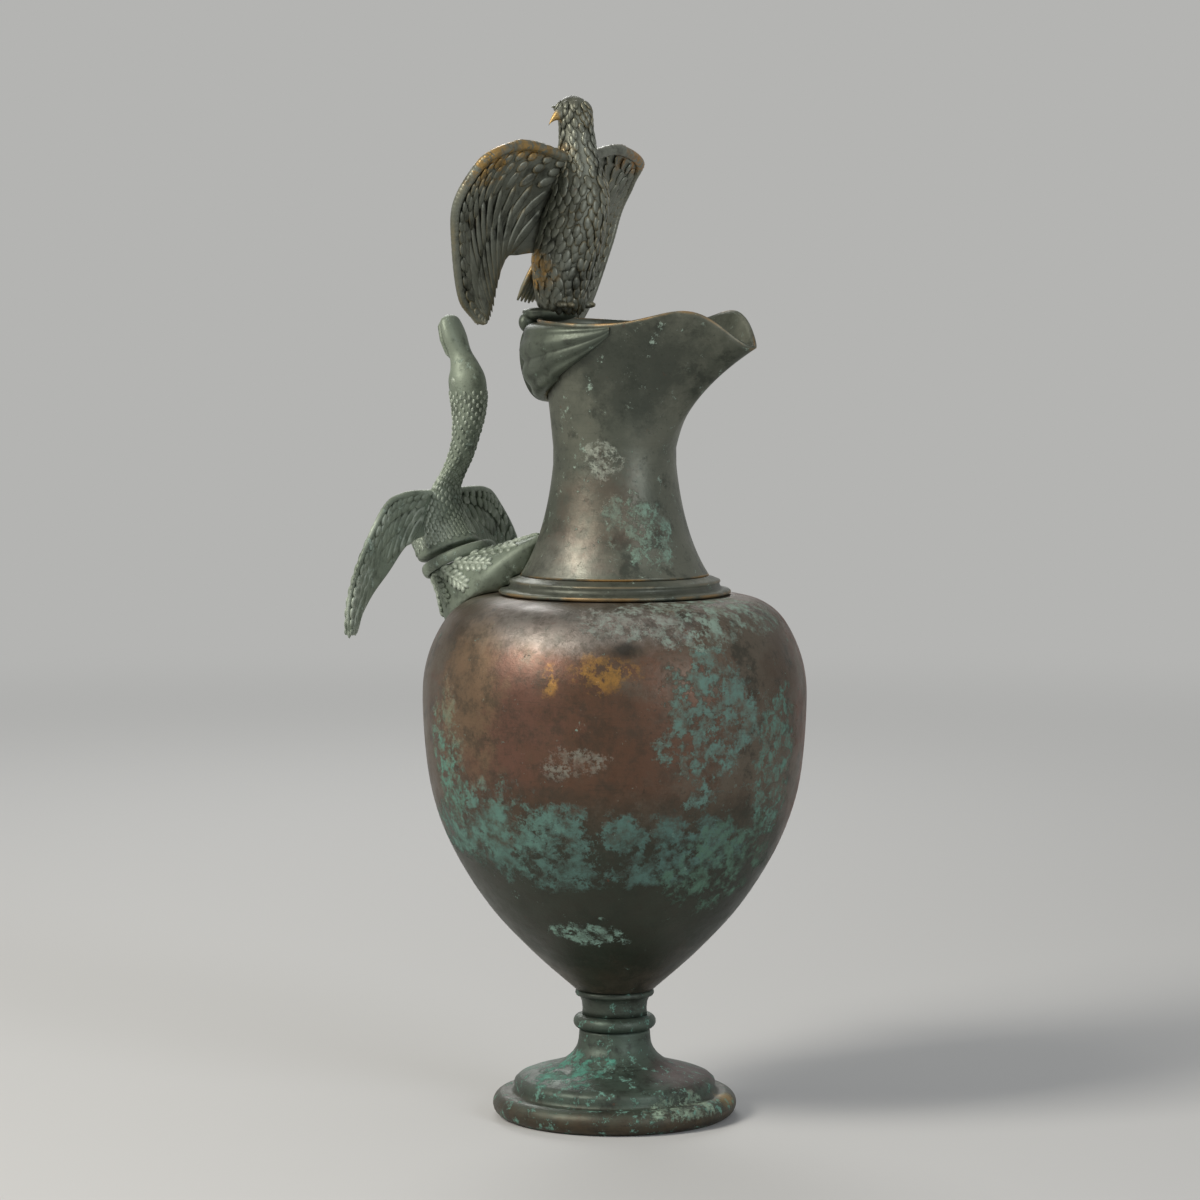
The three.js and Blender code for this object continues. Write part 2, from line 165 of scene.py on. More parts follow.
def lineOffset(line, distance):
    out = []
    for i, (r, z) in enumerate(line):
        a, b = line[max(i - 1, 0)], line[min(i + 1, len(line) - 1)]
        dr, dz = b[0] - a[0], b[1] - a[1]
        n = math.hypot(dr, dz)
        out.append((r - dz / n * distance, z + dr / n * distance))
    return out


def fromPhoto(px, py, radius):
    # a point on the near side of the vessel seen at a pixel of the photograph
    across = (px - photo["widthPx"] / 2 - photo["shiftPx"]) * photo["mmPerPx"]
    near = math.sqrt(max(radius ** 2 - across ** 2, 0))
    shrink = 1 - near / photo["distance"]
    across *= shrink
    z = photo["eyeHeight"] - (py - photo["horizonPx"]) * photo["mmPerPx"] * shrink
    turn = photo["turn"]
    return Vector((across * math.cos(turn) + near * math.sin(turn),
                   across * math.sin(turn) - near * math.cos(turn), z))


# materials

def linearColor(hexText, alpha=1.0):
    parts = [int(hexText[i:i + 2], 16) / 255 for i in (1, 3, 5)]
    return tuple(c / 12.92 if c <= 0.04045 else ((c + 0.055) / 1.055) ** 2.4 for c in parts) + (alpha,)


def addNode(tree, kind, props=None, values=None, links=None):
    node = tree.nodes.new(kind)
    for key, value in (props or {}).items():
        setattr(node, key, value)
    for key, value in (values or {}).items():
        node.inputs[key].default_value = value
    for key, socket in (links or {}).items():
        tree.links.new(socket, node.inputs[key])
    return node


# sizes in mm of the clouds in every patina, and what its crust is like
patina = {"tone": 42, "blotch": 13, "crustTone": 7, "stain": 10, "streak": 16, "fleck": 6.5, "redFleck": 9,
          "speck": 2.4, "ridgeWearAndHighlight": 24, "haze": 11, "grain": 3.2, "edge": 34, "redColor": "#6b3a28",
          "crustRough": 0.82, "crustMetal": 0.05, "reliefHeight": 0.0006}


def patinatedBronze(name, look):
    # cast bronze, rubbed smooth by handling, under layers of brown, grey-green and pale green patina
    material = bpy.data.materials.new(name)
    material.use_nodes = True
    tree = material.node_tree
    tree.nodes.clear()
    coords = addNode(tree, "ShaderNodeTexCoord").outputs["Object"]

    def cloud(size, detail=6.0, rough=0.6, stretch=(1, 1, 1), shift=0.0):
        # noise whose blotches are about size mm
        place = addNode(tree, "ShaderNodeMapping",
                        values={"Scale": stretch, "Location": (shift, shift * 0.7, shift * 1.3)},
                        links={"Vector": coords})
        return addNode(tree, "ShaderNodeTexNoise",
                       values={"Scale": 1000.0 / size, "Detail": detail, "Roughness": rough},
                       links={"Vector": place.outputs[0]}).outputs["Fac"]

    def step(value, start, end):
        return addNode(tree, "ShaderNodeMapRange", {"clamp": True, "interpolation_type": "SMOOTHSTEP"},
                       {"From Min": start, "From Max": end}, {"Value": value}).outputs[0]

    def feed(socket, value):
        # a colour as hex text, a number, or the output of another node
        if isinstance(value, str):
            socket.default_value = linearColor(value)
        elif isinstance(value, (int, float)):
            socket.default_value = value
        else:
            tree.links.new(value, socket)

    def calc(kind, a, b):
        node = addNode(tree, "ShaderNodeMath", {"operation": kind, "use_clamp": True})
        feed(node.inputs[0], a)
        feed(node.inputs[1], b)
        return node.outputs[0]

    def mix(share, a, b, kind="RGBA"):
        node = addNode(tree, "ShaderNodeMix", {"data_type": kind}, links={"Factor": share})
        feed(node.inputs["A"], a)
        feed(node.inputs["B"], b)
        return node.outputs["Result"]

    # one noise bends the distance to every patch, so that its edge is broken
    wobble = addNode(tree, "ShaderNodeTexNoise",
                     values={"Scale": 1000.0 / patina["edge"], "Detail": 10.0, "Roughness": 0.78},
                     links={"Vector": coords}).outputs["Fac"]

    def zone(patch):
        centre, ragged = patch["at"], patch.get("ragged", 0.9)
        soft = 0.04 if patch.get("crust") else 0.3
        place = Vector((centre.x + axisX, centre.y, centre.z)) / 1000
        shifted = addNode(tree, "ShaderNodeVectorMath", {"operation": "SUBTRACT"}, {1: place}, {0: coords})
        squashed = addNode(tree, "ShaderNodeVectorMath", {"operation": "MULTIPLY"},
                           {1: tuple(1000.0 / r for r in patch["size"])}, {0: shifted.outputs[0]})
        distance = addNode(tree, "ShaderNodeVectorMath", {"operation": "LENGTH"},
                           links={0: squashed.outputs[0]})
        bend = addNode(tree, "ShaderNodeMath", {"operation": "MULTIPLY_ADD"},
                       {1: ragged * 4.4, 2: -ragged * 2.2}, {0: wobble})
        total = addNode(tree, "ShaderNodeMath", {"operation": "ADD"},
                        links={0: distance.outputs["Value"], 1: bend.outputs[0]})
        inside = addNode(tree, "ShaderNodeMapRange", {"clamp": True},
                         {"From Min": 1.04 + soft, "From Max": 0.96 - soft}, {"Value": total.outputs[0]})
        return inside.outputs[0]

    color = mix(step(cloud(patina["tone"], shift=0.3), 0.38, 0.62), look["base"], look["second"])
    blotch = step(cloud(patina["blotch"], shift=1.1, rough=0.7), 0.5, 0.66)
    color = mix(calc("MULTIPLY", blotch, 0.75), color, look["dark"])
    crust = None
    for patch in look.get("patches", []):
        share = zone(patch)
        if patch.get("broken"):
            flakes = cloud(patch["broken"], rough=0.75, shift=patch["size"][0] * 0.01)
            share = calc("MULTIPLY", share, step(flakes, 0.45, 0.53))
        share = calc("MULTIPLY", share, patch.get("strength", 1.0))
        if patch.get("crust"):        # worn thin in places, so that the bronze shows through
            thin = step(cloud(patina["crustTone"], rough=0.7, shift=8.8), 0.35, 0.7)
            tone = mix(thin, patch["color"], color)
            crust = share if crust is None else calc("MAXIMUM", crust, share)
        else:
            stain = step(cloud(patina["stain"], rough=0.8, shift=9.4), 0.42, 0.66)
            tone = mix(calc("MULTIPLY", stain, 0.6), patch["color"], look["dark"])
        color = mix(share, color, tone)
    # marks of turning and wiping, then pale, red and dark flecks
    streak = step(cloud(patina["streak"], rough=0.65, stretch=(1, 1, 14), shift=2.0), 0.55, 0.72)
    color = mix(calc("MULTIPLY", streak, look.get("streak", 0.25)), color, look["dark"])
    fleck = step(cloud(patina["fleck"], detail=8.0, rough=0.78, shift=0.7), look["fleckFrom"],
                 look["fleckFrom"] + 0.05)
    color = mix(calc("MULTIPLY", fleck, 0.85), color, look["crust"])
    redFleck = step(cloud(patina["redFleck"], detail=8.0, rough=0.75, shift=3.1), 0.64, 0.7)
    color = mix(calc("MULTIPLY", redFleck, look.get("red", 0.4)), color, patina["redColor"])
    speck = step(cloud(patina["speck"], detail=4.0, rough=0.7, shift=4.2), 0.6, 0.7)
    color = mix(calc("MULTIPLY", speck, 0.5), color, look["dark"])
    crust = fleck if crust is None else calc("MAXIMUM", crust, fleck)
    if look.get("ridgeWearAndHighlight"):              # bare metal on the ridges, a painted pale highlight on the swan's ridges, painted shade in the hollows
        edge = addNode(tree, "ShaderNodeNewGeometry").outputs["Pointiness"]
        ridgeWearAndHighlight = calc("MULTIPLY", step(edge, look["wearFrom"], look["wearFrom"] + 0.05),
                    step(cloud(patina["ridgeWearAndHighlight"], shift=5.5), 0.42, 0.6))
        # golden bare metal where worn; on the swan and calyx a painted pale highlight on the ridges
        color = mix(calc("MULTIPLY", ridgeWearAndHighlight, look["ridgeWearAndHighlight"]), color, look["bareMetalAndRidgeHighlight"])
        # painted shade: the hollows are darkened
        color = mix(calc("MULTIPLY", step(edge, 0.49, 0.44), 0.7), color, look["hollowShade"])
    rough = mix(crust, look["rough"], patina["crustRough"], "FLOAT")
    rough = mix(step(cloud(patina["haze"], shift=6.1), 0.3, 0.75), rough, calc("ADD", rough, 0.14), "FLOAT")
    metal = mix(crust, look["metal"], patina["crustMetal"], "FLOAT")
    grain = addNode(tree, "ShaderNodeBump", values={"Strength": 0.28, "Distance": patina["reliefHeight"]},
                    links={"Height": cloud(patina["grain"], rough=0.7, shift=7.3)})
    relief = addNode(tree, "ShaderNodeBump", values={"Strength": 0.5, "Distance": patina["reliefHeight"]},
                     links={"Height": crust, "Normal": grain.outputs[0]})
    shader = addNode(tree, "ShaderNodeBsdfPrincipled",
                     links={"Base Color": color, "Roughness": rough, "Metallic": metal,
                            "Normal": relief.outputs[0]})
    addNode(tree, "ShaderNodeOutputMaterial", links={"Surface": shader.outputs[0]})
    return material


def nearPatch(px, py, radius, size, color, **more):
    # a patch seen in the photograph: its pixel, the vessel's radius there and its half sizes in mm
    return dict(at=fromPhoto(px, py, radius), size=size, color=color, **more)


# belly: brown bronze rubbed to a soft shine, reddish where bare, with teal crust and golden spots, a
# painted highlight on the shoulder and painted shade underneath
bellyLook = {
    "base": "#54473a", "second": "#62594c", "dark": "#33332a", "crust": "#7d998b", "fleckFrom": 0.63,
    "rough": 0.36, "metal": 0.55, "red": 0.5, "streak": 0.3,
    "patches": [
        nearPatch(570, 735, 94, (78, 78, 52), "#614433", strength=0.8, ragged=0.9),
        nearPatch(500, 700, 94, (40, 40, 40), "#6b4c40", strength=0.7),
        # painted shade: darker on the underside of the belly
        nearPatch(600, 905, 62, (150, 150, 47), "#333a30", strength=0.9, ragged=0.45),
        nearPatch(575, 850, 80, (80, 80, 19), "#54736a", crust=True, broken=13, ragged=0.45),
        nearPatch(490, 830, 82, (38, 38, 20), "#5b7d72", crust=True, broken=11),
        nearPatch(712, 722, 95, (27, 27, 34), "#658479", crust=True, broken=9, ragged=0.8),
        nearPatch(772, 760, 94, (17, 17, 36), "#5c8072", crust=True, broken=6),
        nearPatch(715, 865, 72, (30, 30, 20), "#52715f", crust=True, broken=7),
        nearPatch(450, 760, 94, (15, 15, 32), "#5a8374", crust=True, broken=5),
        nearPatch(715, 622, 86, (56, 56, 11), "#84988a", crust=True, broken=6),
        # painted highlight: a silvery grey sheen on the shoulder
        nearPatch(560, 628, 86, (55, 55, 12), "#8d8c86", strength=0.55, ragged=0.7),
        nearPatch(605, 677, 94, (15, 15, 9), "#a37a3c", strength=0.75, broken=7),
        nearPatch(549, 686, 94, (5, 5, 8), "#b08443", strength=0.75, broken=6),
        nearPatch(570, 765, 95, (15, 15, 8), "#8f9184", crust=True, broken=3, strength=0.6),
        nearPatch(470, 690, 93, (20, 20, 34), "#7d6a50", strength=0.6),
        nearPatch(625, 652, 93, (9, 9, 4), "#1f211c", strength=0.8),
        nearPatch(590, 937, 54, (15, 15, 6), "#8fb0a0", crust=True, broken=5),
        dict(at=Vector((-60, 60, 150)), size=(60, 60, 50), color="#4b8672", crust=True, broken=12),
        dict(at=Vector((60, 70, 200)), size=(50, 50, 60), color="#6a3f2c", strength=0.8),
        dict(at=Vector((-70, 40, 235)), size=(40, 60, 18), color="#8fa692", crust=True, broken=9),
    ],
}
# neck and collar: smooth grey-green bronze, rubbed golden along the rim and the mouldings, with painted
# shade under the spout
neckLook = {
    "base": "#6c6e61", "second": "#585c51", "dark": "#363a32", "crust": "#98ab9b",
    "fleckFrom": 0.6, "rough": 0.38, "metal": 0.55, "red": 0.45, "streak": 0.2,
    "ridgeWearAndHighlight": 0.85, "wearFrom": 0.54, "bareMetalAndRidgeHighlight": "#b5894a", "hollowShade": "#2c2e27",
    "patches": [
        nearPatch(640, 535, 36, (17, 17, 15), "#86a391", crust=True, broken=7, ragged=0.9),
        nearPatch(600, 462, 31, (9, 9, 8), "#a4ab9c", crust=True, broken=4),
        nearPatch(560, 560, 42, (22, 22, 12), "#7b7a70", strength=0.6),
        nearPatch(590, 520, 34, (22, 22, 22), "#5d4a3e", strength=0.45),
        # painted shade: darker under the spout
        nearPatch(640, 360, 40, (30, 30, 26), "#3b4038", strength=0.7),
        dict(at=Vector((-30, 20, 320)), size=(24, 24, 40), color="#7f9c8b", crust=True, broken=8),
    ],
}
# foot and stem: turned bronze under turquoise patina, browner on the base ring
footLook = {
    "base": "#4f5d52", "second": "#454c43", "dark": "#2a2b26", "crust": "#6f9c8c", "fleckFrom": 0.56,
    "rough": 0.44, "metal": 0.5, "red": 0.35, "streak": 0.7,
    "patches": [
        nearPatch(705, 1080, 48, (24, 24, 8), "#4e3b38", strength=0.8),
        nearPatch(560, 1080, 46, (30, 30, 7), "#4f8f7c", crust=True, broken=9),
        dict(at=Vector((0, 0, 3)), size=(90, 90, 9.5), color="#4b3d2c", strength=0.85, ragged=0.15),
        nearPatch(690, 1115, 61, (26, 26, 6), "#93a892", crust=True, broken=6),
        nearPatch(730, 1098, 61, (10, 10, 6), "#a08348", strength=0.8),
    ],
}
# saddle and perch: green bronze with its ridges worn by hands
saddleLook = {
    "base": "#666e60", "second": "#535a4f", "dark": "#2e3129", "crust": "#859888", "fleckFrom": 0.62,
    "rough": 0.4, "metal": 0.55, "ridgeWearAndHighlight": 0.75, "wearFrom": 0.53, "bareMetalAndRidgeHighlight": "#9c8a58", "hollowShade": "#1e201a",
}
# eagle: dark olive chased bronze, golden where it stands out most
eagleLook = {
    "base": "#6a6c5f", "second": "#7c7f73", "dark": "#35362d", "crust": "#87938a", "fleckFrom": 0.66,
    "rough": 0.36, "metal": 0.55, "ridgeWearAndHighlight": 0.3, "wearFrom": 0.56, "bareMetalAndRidgeHighlight": "#a08a58", "hollowShade": "#15150f",
    "patches": [
        dict(at=Vector((-27, -70, 478)), size=(14, 22, 14), color="#b08a45", strength=0.8, broken=7),
        dict(at=Vector((-27, -36, 484)), size=(9, 26, 5), color="#b08a45", strength=0.8, broken=6),
        dict(at=Vector((-27, 66, 482)), size=(12, 16, 8), color="#a5793c", strength=0.8, broken=6),
        dict(at=Vector((-30, -12, 500)), size=(3.5, 4.5, 4), color="#c9a35c", strength=0.85),
        dict(at=Vector((-38, -15, 424)), size=(10, 8, 9), color="#b58a3f", strength=0.8, broken=5),
    ],
}
# swan and calyx: dull pale verdigris, with a painted pale highlight on the ridges and painted shade in the
# cuts
swanLook = {
    "base": "#86907f", "second": "#727c6d", "dark": "#454c40", "crust": "#a5b7a8", "fleckFrom": 0.58,
    "rough": 0.5, "metal": 0.35, "red": 0.12, "streak": 0.1,
    "ridgeWearAndHighlight": 0.8, "wearFrom": 0.53, "bareMetalAndRidgeHighlight": "#b4bdae", "hollowShade": "#26302b",
}

bellyBronze = patinatedBronze("brownPatinatedBronze", bellyLook)
neckBronze = patinatedBronze("greyGreenPatinatedBronze", neckLook)
footBronze = patinatedBronze("turquoisePatinatedBronze", footLook)
saddleBronze = patinatedBronze("handledGreenBronze", saddleLook)
eagleBronze = patinatedBronze("darkOliveChasedBronze", eagleLook)
swanBronze = patinatedBronze("paleVerdigrisBronze", swanLook)
print("bronze finishes ready")


# vessel: belly, collar, stem and foot are turned forms, as (radius, height) lines

belly = {"wall": 2.0, "throat": 45.0, "bottom": 64.0, "top": 263.0, "rows": 60,
         "line": [(20, 64), (42.5, 84.3), (64.2, 108.4), (82.6, 138.8), (92.6, 169), (96.1, 207),
                  (94.0, 230), (85.2, 249.5), (74, 259.1), (59.7, 262.7)]}
outer = [tuple(along(belly["line"], i / belly["rows"])) for i in range(belly["rows"] + 1)]
inner = [p for p in reversed(lineOffset(outer, belly["wall"])) if p[1] > belly["bottom"] + 3]
turnedPiece([(0, belly["bottom"])] + outer
            + [(belly["throat"], belly["top"]), (belly["throat"], belly["top"] - belly["wall"])]
            + inner + [(0, belly["bottom"] + belly["wall"])],
            "bellyShell", "belly", bellyBronze, steps=192)

collar = {"seat": belly["top"] + seam,
          "line": [(45, 0), (57.4, 0), (58.0, 0.5), (58.1, 1.4), (57.4, 2.1), (54.6, 2.5), (53.4, 3.0),
                   (52.5, 4.4), (52.4, 5.4), (52.9, 6.1), (52.5, 6.9), (51.3, 7.3), (50.2, 7.8),
                   (48.6, 8.4), (47.6, 9.0), (45, 9.0)]}
turnedPiece([(r, collar["seat"] + rise) for r, rise in collar["line"]],
            "shoulderCollar", "shoulder_collar", neckBronze)

stemCup = {"line": [(0, 51.0), (16.4, 51.0), (16.2, 54), (16.6, 57.5), (17.6, 59.8), (18.2, 60.4),
                    (19.4, 60.7), (19.9, 61.6), (19.8, 62.6), (19.2, 63.4), (18.4, 63.7), (0, 63.7)]}
turnedPiece(stemCup["line"], "stemCup", "stem_cup", footBronze, steps=96)


def halfRoll(radius, height, size, degrees):
    turns = [math.radians(a) for a in degrees]
    return [(radius + size * math.cos(turn), height + size * math.sin(turn)) for turn in turns]


knop = {"radius": 17.3, "height": 47.2, "roll": 3.5}
turnedPiece([(0, knop["height"] - knop["roll"])]
            + halfRoll(knop["radius"], knop["height"], knop["roll"], range(-90, 91, 15))
            + [(0, knop["height"] + knop["roll"])],
            "stemKnop", "stem_knop", footBronze, steps=96)

foot = {"standing": [(50.9, 0.0), (56.9, 0.0)], "ringRadius": 55.4, "ringRoll": 6,
        "step": [(53.2, 11.6), (51.6, 11.9), (51.1, 12.6), (50.7, 14.2),
                 (50.8, 16.4), (50.3, 17.7), (49.5, 18.4)],
        "trumpet": [(48.2, 19.6), (44.1, 21.2), (36.3, 23.4), (28.2, 26.0), (23.2, 29.3), (20.0, 33.0),
                    (18.4, 37.0), (17.8, 43.4)], "rows": 24,
        "hollow": [(0, 43.4), (0, 26), (8.5, 24), (24, 20), (36, 16), (47.4, 9)]}
turnedPiece(foot["standing"]
            + halfRoll(foot["ringRadius"], foot["ringRoll"], foot["ringRoll"], range(-75, 91, 11))
            + foot["step"]
            + [tuple(along(foot["trumpet"], i / foot["rows"])) for i in range(foot["rows"] + 1)]
            + foot["hollow"],
            "footTrumpet", "foot", footBronze)
print("turned pieces done")

# neck and mouth: one line at each angle climbs from the collar to the rim, lowest at the spout's tip
neck = {"wall": 1.5, "footRadius": 47.1, "footHeight": 272.6, "waist": 30.5, "waistHeight": 330.0,
        "rim": 38.8, "rimHeight": 397.0, "rimBack": 3.0, "reach": 80.6, "spread": 0.55,
        "rise": 13.0, "riseSpread": 0.61, "dip": 24.0, "dipSpread": 0.25, "rows": 30,
        "lowerBend": (3.5, 20), "upperBend": (3.2, 40), "spoutBend": (10.3, 5)}


def bezier(a, b, c, t):
    return tuple((1 - t) ** 2 * p + 2 * t * (1 - t) * q + t * t * r for p, q, r in zip(a, b, c))


def neckLine(angle):
    share = math.exp(-(abs(angle) / neck["spread"]) ** 1.4)
    lip = neck["rim"] + (neck["reach"] - neck["rim"]) * share
    lipZ = (neck["rimHeight"] + neck["rimBack"] * ((1 - math.cos(angle)) / 2) ** 2
            + neck["rise"] * math.exp(-(angle / neck["riseSpread"]) ** 2)
            - neck["dip"] * math.exp(-(angle / neck["dipSpread"]) ** 2))
    waist, level, start, rows = neck["waist"], neck["waistHeight"], neck["footHeight"], neck["rows"]
    lowOut, lowUp = neck["lowerBend"]
    lower = [bezier((neck["footRadius"], start), (waist + lowOut, start + lowUp), (waist, level), i / rows)
             for i in range(rows)]
    (out, rise), (spoutOut, spoutDrop) = neck["upperBend"], neck["spoutBend"]
    bend = (waist + out + spoutOut * share, level + rise - spoutDrop * share)
    upper = [bezier((waist + 0.2, level + 6), bend, (lip, lipZ), i / rows) for i in range(rows + 1)]
    return lower + upper


def neckPoint(u, w):
    even = math.tau * u - math.pi
    angle = even - 0.6 * math.sin(even)           # closer lines at the spout
    outer = neckLine(angle)
    inner = lineOffset(outer, neck["wall"])
    inner[0] = (inner[0][0], neck["footHeight"])
    # half-round lip between the two skins
    tip, inside = outer[-1], inner[-1]
    middle = (tip[0] + inside[0]) / 2, (tip[1] + inside[1]) / 2
    top = (middle[0] + (tip[1] - inside[1]) * 0.3, middle[1] + 0.35)
    path = outer + [top] + inner[::-1]
    r, z = path[int(round(w * (len(path) - 1)))]
    return Vector((r * math.cos(angle), r * math.sin(angle), z))


bm = bmesh.new()
shapedGrid(bm, 128, 4 * neck["rows"] + 2, neckPoint)
bmesh.ops.bridge_loops(bm, edges=[e for e in bm.edges if e.is_boundary])
finishPiece(bm, "neckAndSpout", "neck_spout", neckBronze)
print("neck done")

# rim saddle: fluted crescent that follows the back of the neck, with a ribbed middle
saddle = {"arc": math.radians(118), "thick": 12.0, "flutes": 3, "low": 358, "top": 0.97,
          "middle": 0.16, "ribs": 40}


def saddlePoint(u, w):
    across = w * 2 - 1
    angle = math.pi + across * saddle["arc"]
    wrapped = (angle + math.pi) % math.tau - math.pi
    line = [p for p in lineOffset(neckLine(wrapped), -seam) if p[1] > saddle["low"]]
    full = 0.06 + 0.94 * max(math.cos(across * math.pi / 2), 0) ** 0.8
    start, swing = 0.92 * (1 - full), math.tau * u
    t = start + (saddle["top"] - start) * (0.5 - 0.5 * math.cos(swing))
    place = t * (len(line) - 1)
    i = min(int(place), len(line) - 2)
    f = place - i
    dr, dz = line[i + 1][0] - line[i][0], line[i + 1][1] - line[i][1]
    n = math.hypot(dr, dz)
    if abs(across) > saddle["middle"]:
        turn = math.pi * saddle["flutes"] * (t - start) / max(saddle["top"] - start, 0.01)
        flute = 0.8 + 0.2 * abs(math.cos(turn))
    else:
        flute = 1.06 + 0.05 * math.cos(across * saddle["ribs"])
    away = saddle["thick"] * full * max(math.sin(swing), 0) ** 0.7 * flute
    r, z = line[i][0] + dr * f + dz / n * away, line[i][1] + dz * f - dr / n * away
    return Vector((r * math.cos(angle), r * math.sin(angle), z))


bm = bmesh.new()
shapedGrid(bm, 56, 160, saddlePoint)
closeHoles(bm)
finishPiece(bm, "rimSaddle", "rim_saddle", saddleBronze)

# perch: a flat pad over the rim and a rounded knuckle outside it
perch = {"pad": Vector((-38.4, 0, 403.1)), "padSize": Vector((13.5, 14.5, 2.5)), "underside": 1.8,
         "knuckle": Vector((-46.2, 0, 398.2)), "knuckleSize": Vector((6.0, 14.0, 7.2))}


def padPoint(v):
    # flattened, and its underside dips over the rim
    flat = Vector((v.x, v.y, abs(v.z) ** 0.6 * (-perch["underside"] if v.z < 0 else 1)))
    return perch["pad"] + scaled(flat, perch["padSize"])


bm = bmesh.new()
shapedBall(bm, padPoint)
shapedBall(bm, lambda v: perch["knuckle"] + scaled(v, perch["knuckleSize"]))
finishPiece(bm, "eaglePerch", "eagle_perch", saddleBronze)
print("saddle done")

# eagle: sections are share of height, how far forward, half width, half depth
eagle = {"base": 405.9, "height": 105.2, "x": -31.0, "featherRows": 34, "featherFrom": 0.83,
         "featherSpan": 0.79, "neckFeather": 6.2, "bodyFeather": 8.6, "featherThick": 1.7, "beak": 4.0,
         "eye": 1.3, "brow": (5.0, 2.4, 1.4), "tailFeathers": 7, "tailStep": 3.4, "tailFeather": (6.0, 3.2),
         "leg": 11, "claw": (9.5, 4.6, 4.2)}
eagleSections = [(0, 0, 7, 7), (0.02, 0, 11.5, 10.5), (0.09, 0, 13.4, 12.8), (0.24, 2, 16.2, 15.6),
                 (0.38, 6, 15.8, 16), (0.52, 10, 14.2, 14), (0.65, 10, 10.4, 11), (0.74, 9, 8.6, 9),
                 (0.84, 8.5, 7.2, 7.8), (0.93, 7, 7.2, 7.8), (0.975, 6.4, 5.4, 6), (0.995, 6.2, 2, 2.4),
                 (1, 6.2, 0.01, 0.01)]


def eaglePoint(u, w):
    share, forward, width, depth = along(eagleSections, w)
    turn = math.tau * u
    return Vector((eagle["x"] + forward + max(depth, 0) * math.cos(turn), max(width, 0) * math.sin(turn),
                   eagle["base"] + eagle["height"] * share))


def onEagle(forward, sideways, share=0.0, lift=0.0):
    return Vector((eagle["x"] + forward, sideways, eagle["base"] + eagle["height"] * share + lift))


bm = bmesh.new()
shapedGrid(bm, 40, 80, eaglePoint)
closeHoles(bm)
for row in range(eagle["featherRows"]):
    w = eagle["featherFrom"] - eagle["featherSpan"] * row / eagle["featherRows"]
    count = max(int(along(eagleSections, w)[2] * 1.25), 8)
    for k in range(count):
        u = (k + 0.5 * (row % 2)) / count + random.uniform(-0.01, 0.01)
        here, below, side = eaglePoint(u, w), eaglePoint(u, max(w - 0.03, 0.005)), eaglePoint(u + 0.02, w)
        down = (below - here).normalized()
        normal = down.cross(side - here).normalized()
        sway = (side - here).normalized() * random.uniform(-0.35, 0.35)
        length = eagle["neckFeather"] if w > 0.5 else eagle["bodyFeather"]
        leaf(here + normal * 0.25, down + sway + normal * 0.06, normal, length, length * 0.5,
             eagle["featherThick"])

# beak, eyes and brow, turned to the eagle's right
beakRoot = onEagle(4.6, -5.0, 0.905)


def beakPoint(u, w):
    # a hooked cone that falls away towards its tip
    size = eagle["beak"] * (1 - w ** 1.6) * min(w * 8, 1)
    turn = math.tau * u
    sideways, upward = size * 0.7 * math.cos(turn), size * math.sin(turn)
    return beakRoot + Vector((-4.4 * w + sideways * 0.88, -8.0 * w - sideways * 0.48,
                              1.0 - 6.5 * w ** 2.6 + upward))


shapedGrid(bm, 16, 14, beakPoint)
for side in (-1, 1):
    eye = onEagle(4.1 + side * 5.2, -4.0, 0.935)
    bmesh.ops.create_uvsphere(bm, u_segments=10, v_segments=6, radius=eagle["eye"],
                              matrix=Matrix.Translation(eye))
    leaf(eye + Vector((-1.2, 2.6, 1.3)), Vector((0.1, -1, -0.1)), Vector((0, 0, 1)), *eagle["brow"])
# tail fan outside the rim
for i in range(eagle["tailFeathers"]):
    spread = (i - (eagle["tailFeathers"] - 1) / 2) * eagle["tailStep"]
    start, end = onEagle(-9, spread * 0.6, lift=27), onEagle(-20.5, spread, lift=1 + abs(spread) * 0.15)
    leaf(start, end - start, Vector((-0.6, spread * 0.02, 0.8)), (end - start).length,
         *eagle["tailFeather"])
# legs, and three claws each on the perch
for side in (-1, 1):
    for j in range(3):
        leaf(onEagle(j - 2, side * 8.0, lift=12), Vector((0.1, 0, -1)), Vector((1, 0, 0)),
             eagle["leg"], 8 - j, 8 - j)
    for spread in (-0.6, 0, 0.6):
        leaf(onEagle(3, side * 7.5 + spread * 3, lift=1.9), Vector((1, spread, -0.15)), Vector((0, 0, 1)),
             *eagle["claw"])
finishPiece(bm, "eagleBody", "eagle_body", eagleBronze)
print("eagle body done")

# wings: each lies between a leading and a trailing line, given for the bird's right side.
# a tier of feathers is where it starts, how far it reaches, how many, and their length and width


def wingPoint(lead, trail, thick, camber, outward, t, face):
    a, b = Vector(along(lead, outward)), Vector(along(trail, outward))
    swell = math.sin(math.pi * min(0.25 + outward, 1)) * 0.6 + 0.4
    push = face * thick * (0.5 - 0.3 * t) - camber * math.sin(math.pi * t) * swell
    return a.lerp(b, t) + Vector((push, 0, 0))


